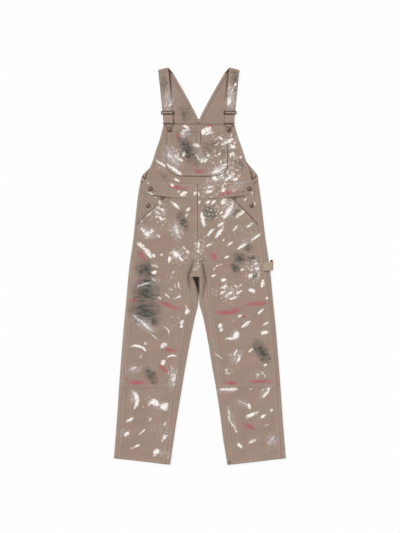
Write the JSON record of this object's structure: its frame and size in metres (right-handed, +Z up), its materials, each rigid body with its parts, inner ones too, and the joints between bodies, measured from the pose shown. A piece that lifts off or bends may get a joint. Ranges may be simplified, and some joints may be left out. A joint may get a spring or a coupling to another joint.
{
  "type": "paint spattered dungarees",
  "caption": "Canvas work dungarees laid flat, with a bib and pocket, buckled straps, double knees, hip pockets, side buttons and a hammer loop, spattered with paint.",
  "frame": {"origin": "under the middle of the garment as it lies, on the surface that it lies on", "axes": "+X towards the hammer loop's side, +Y from the hems to the shoulders, +Z up out of the front of the garment"},
  "size_m": [0.671, 1.551, 0.0107],
  "materials": {
    "canvas": "washed taupe brown duck canvas with dried white, red and dark paint",
    "webbing": "undyed cotton webbing",
    "brass": "antique brass, dark with rubbed edges"
  },
  "bodies": {
    "root": {"back_leg_left": "canvas", "back_leg_right": "canvas", "back_bib": "canvas", "front_leg_left": "canvas", "front_leg_right": "canvas", "knee_patch_left": "canvas", "knee_patch_right": "canvas", "hip_facing_left": "canvas", "hip_facing_right": "canvas", "waistband_left": "canvas", "waistband_right": "canvas", "front_bib": "canvas", "bib_pocket": "canvas", "strap_left": "canvas", "strap_right": "canvas", "hammer_loop": "webbing", "slider_left": "brass", "slider_right": "brass", "hook_left": "brass", "hook_right": "brass", "bib_button_left": "brass", "bib_button_right": "brass", "side_button_left_upper": "brass", "side_button_left_lower": "brass", "side_button_right_upper": "brass", "side_button_right_lower": "brass"}
  },
  "joints": []
}
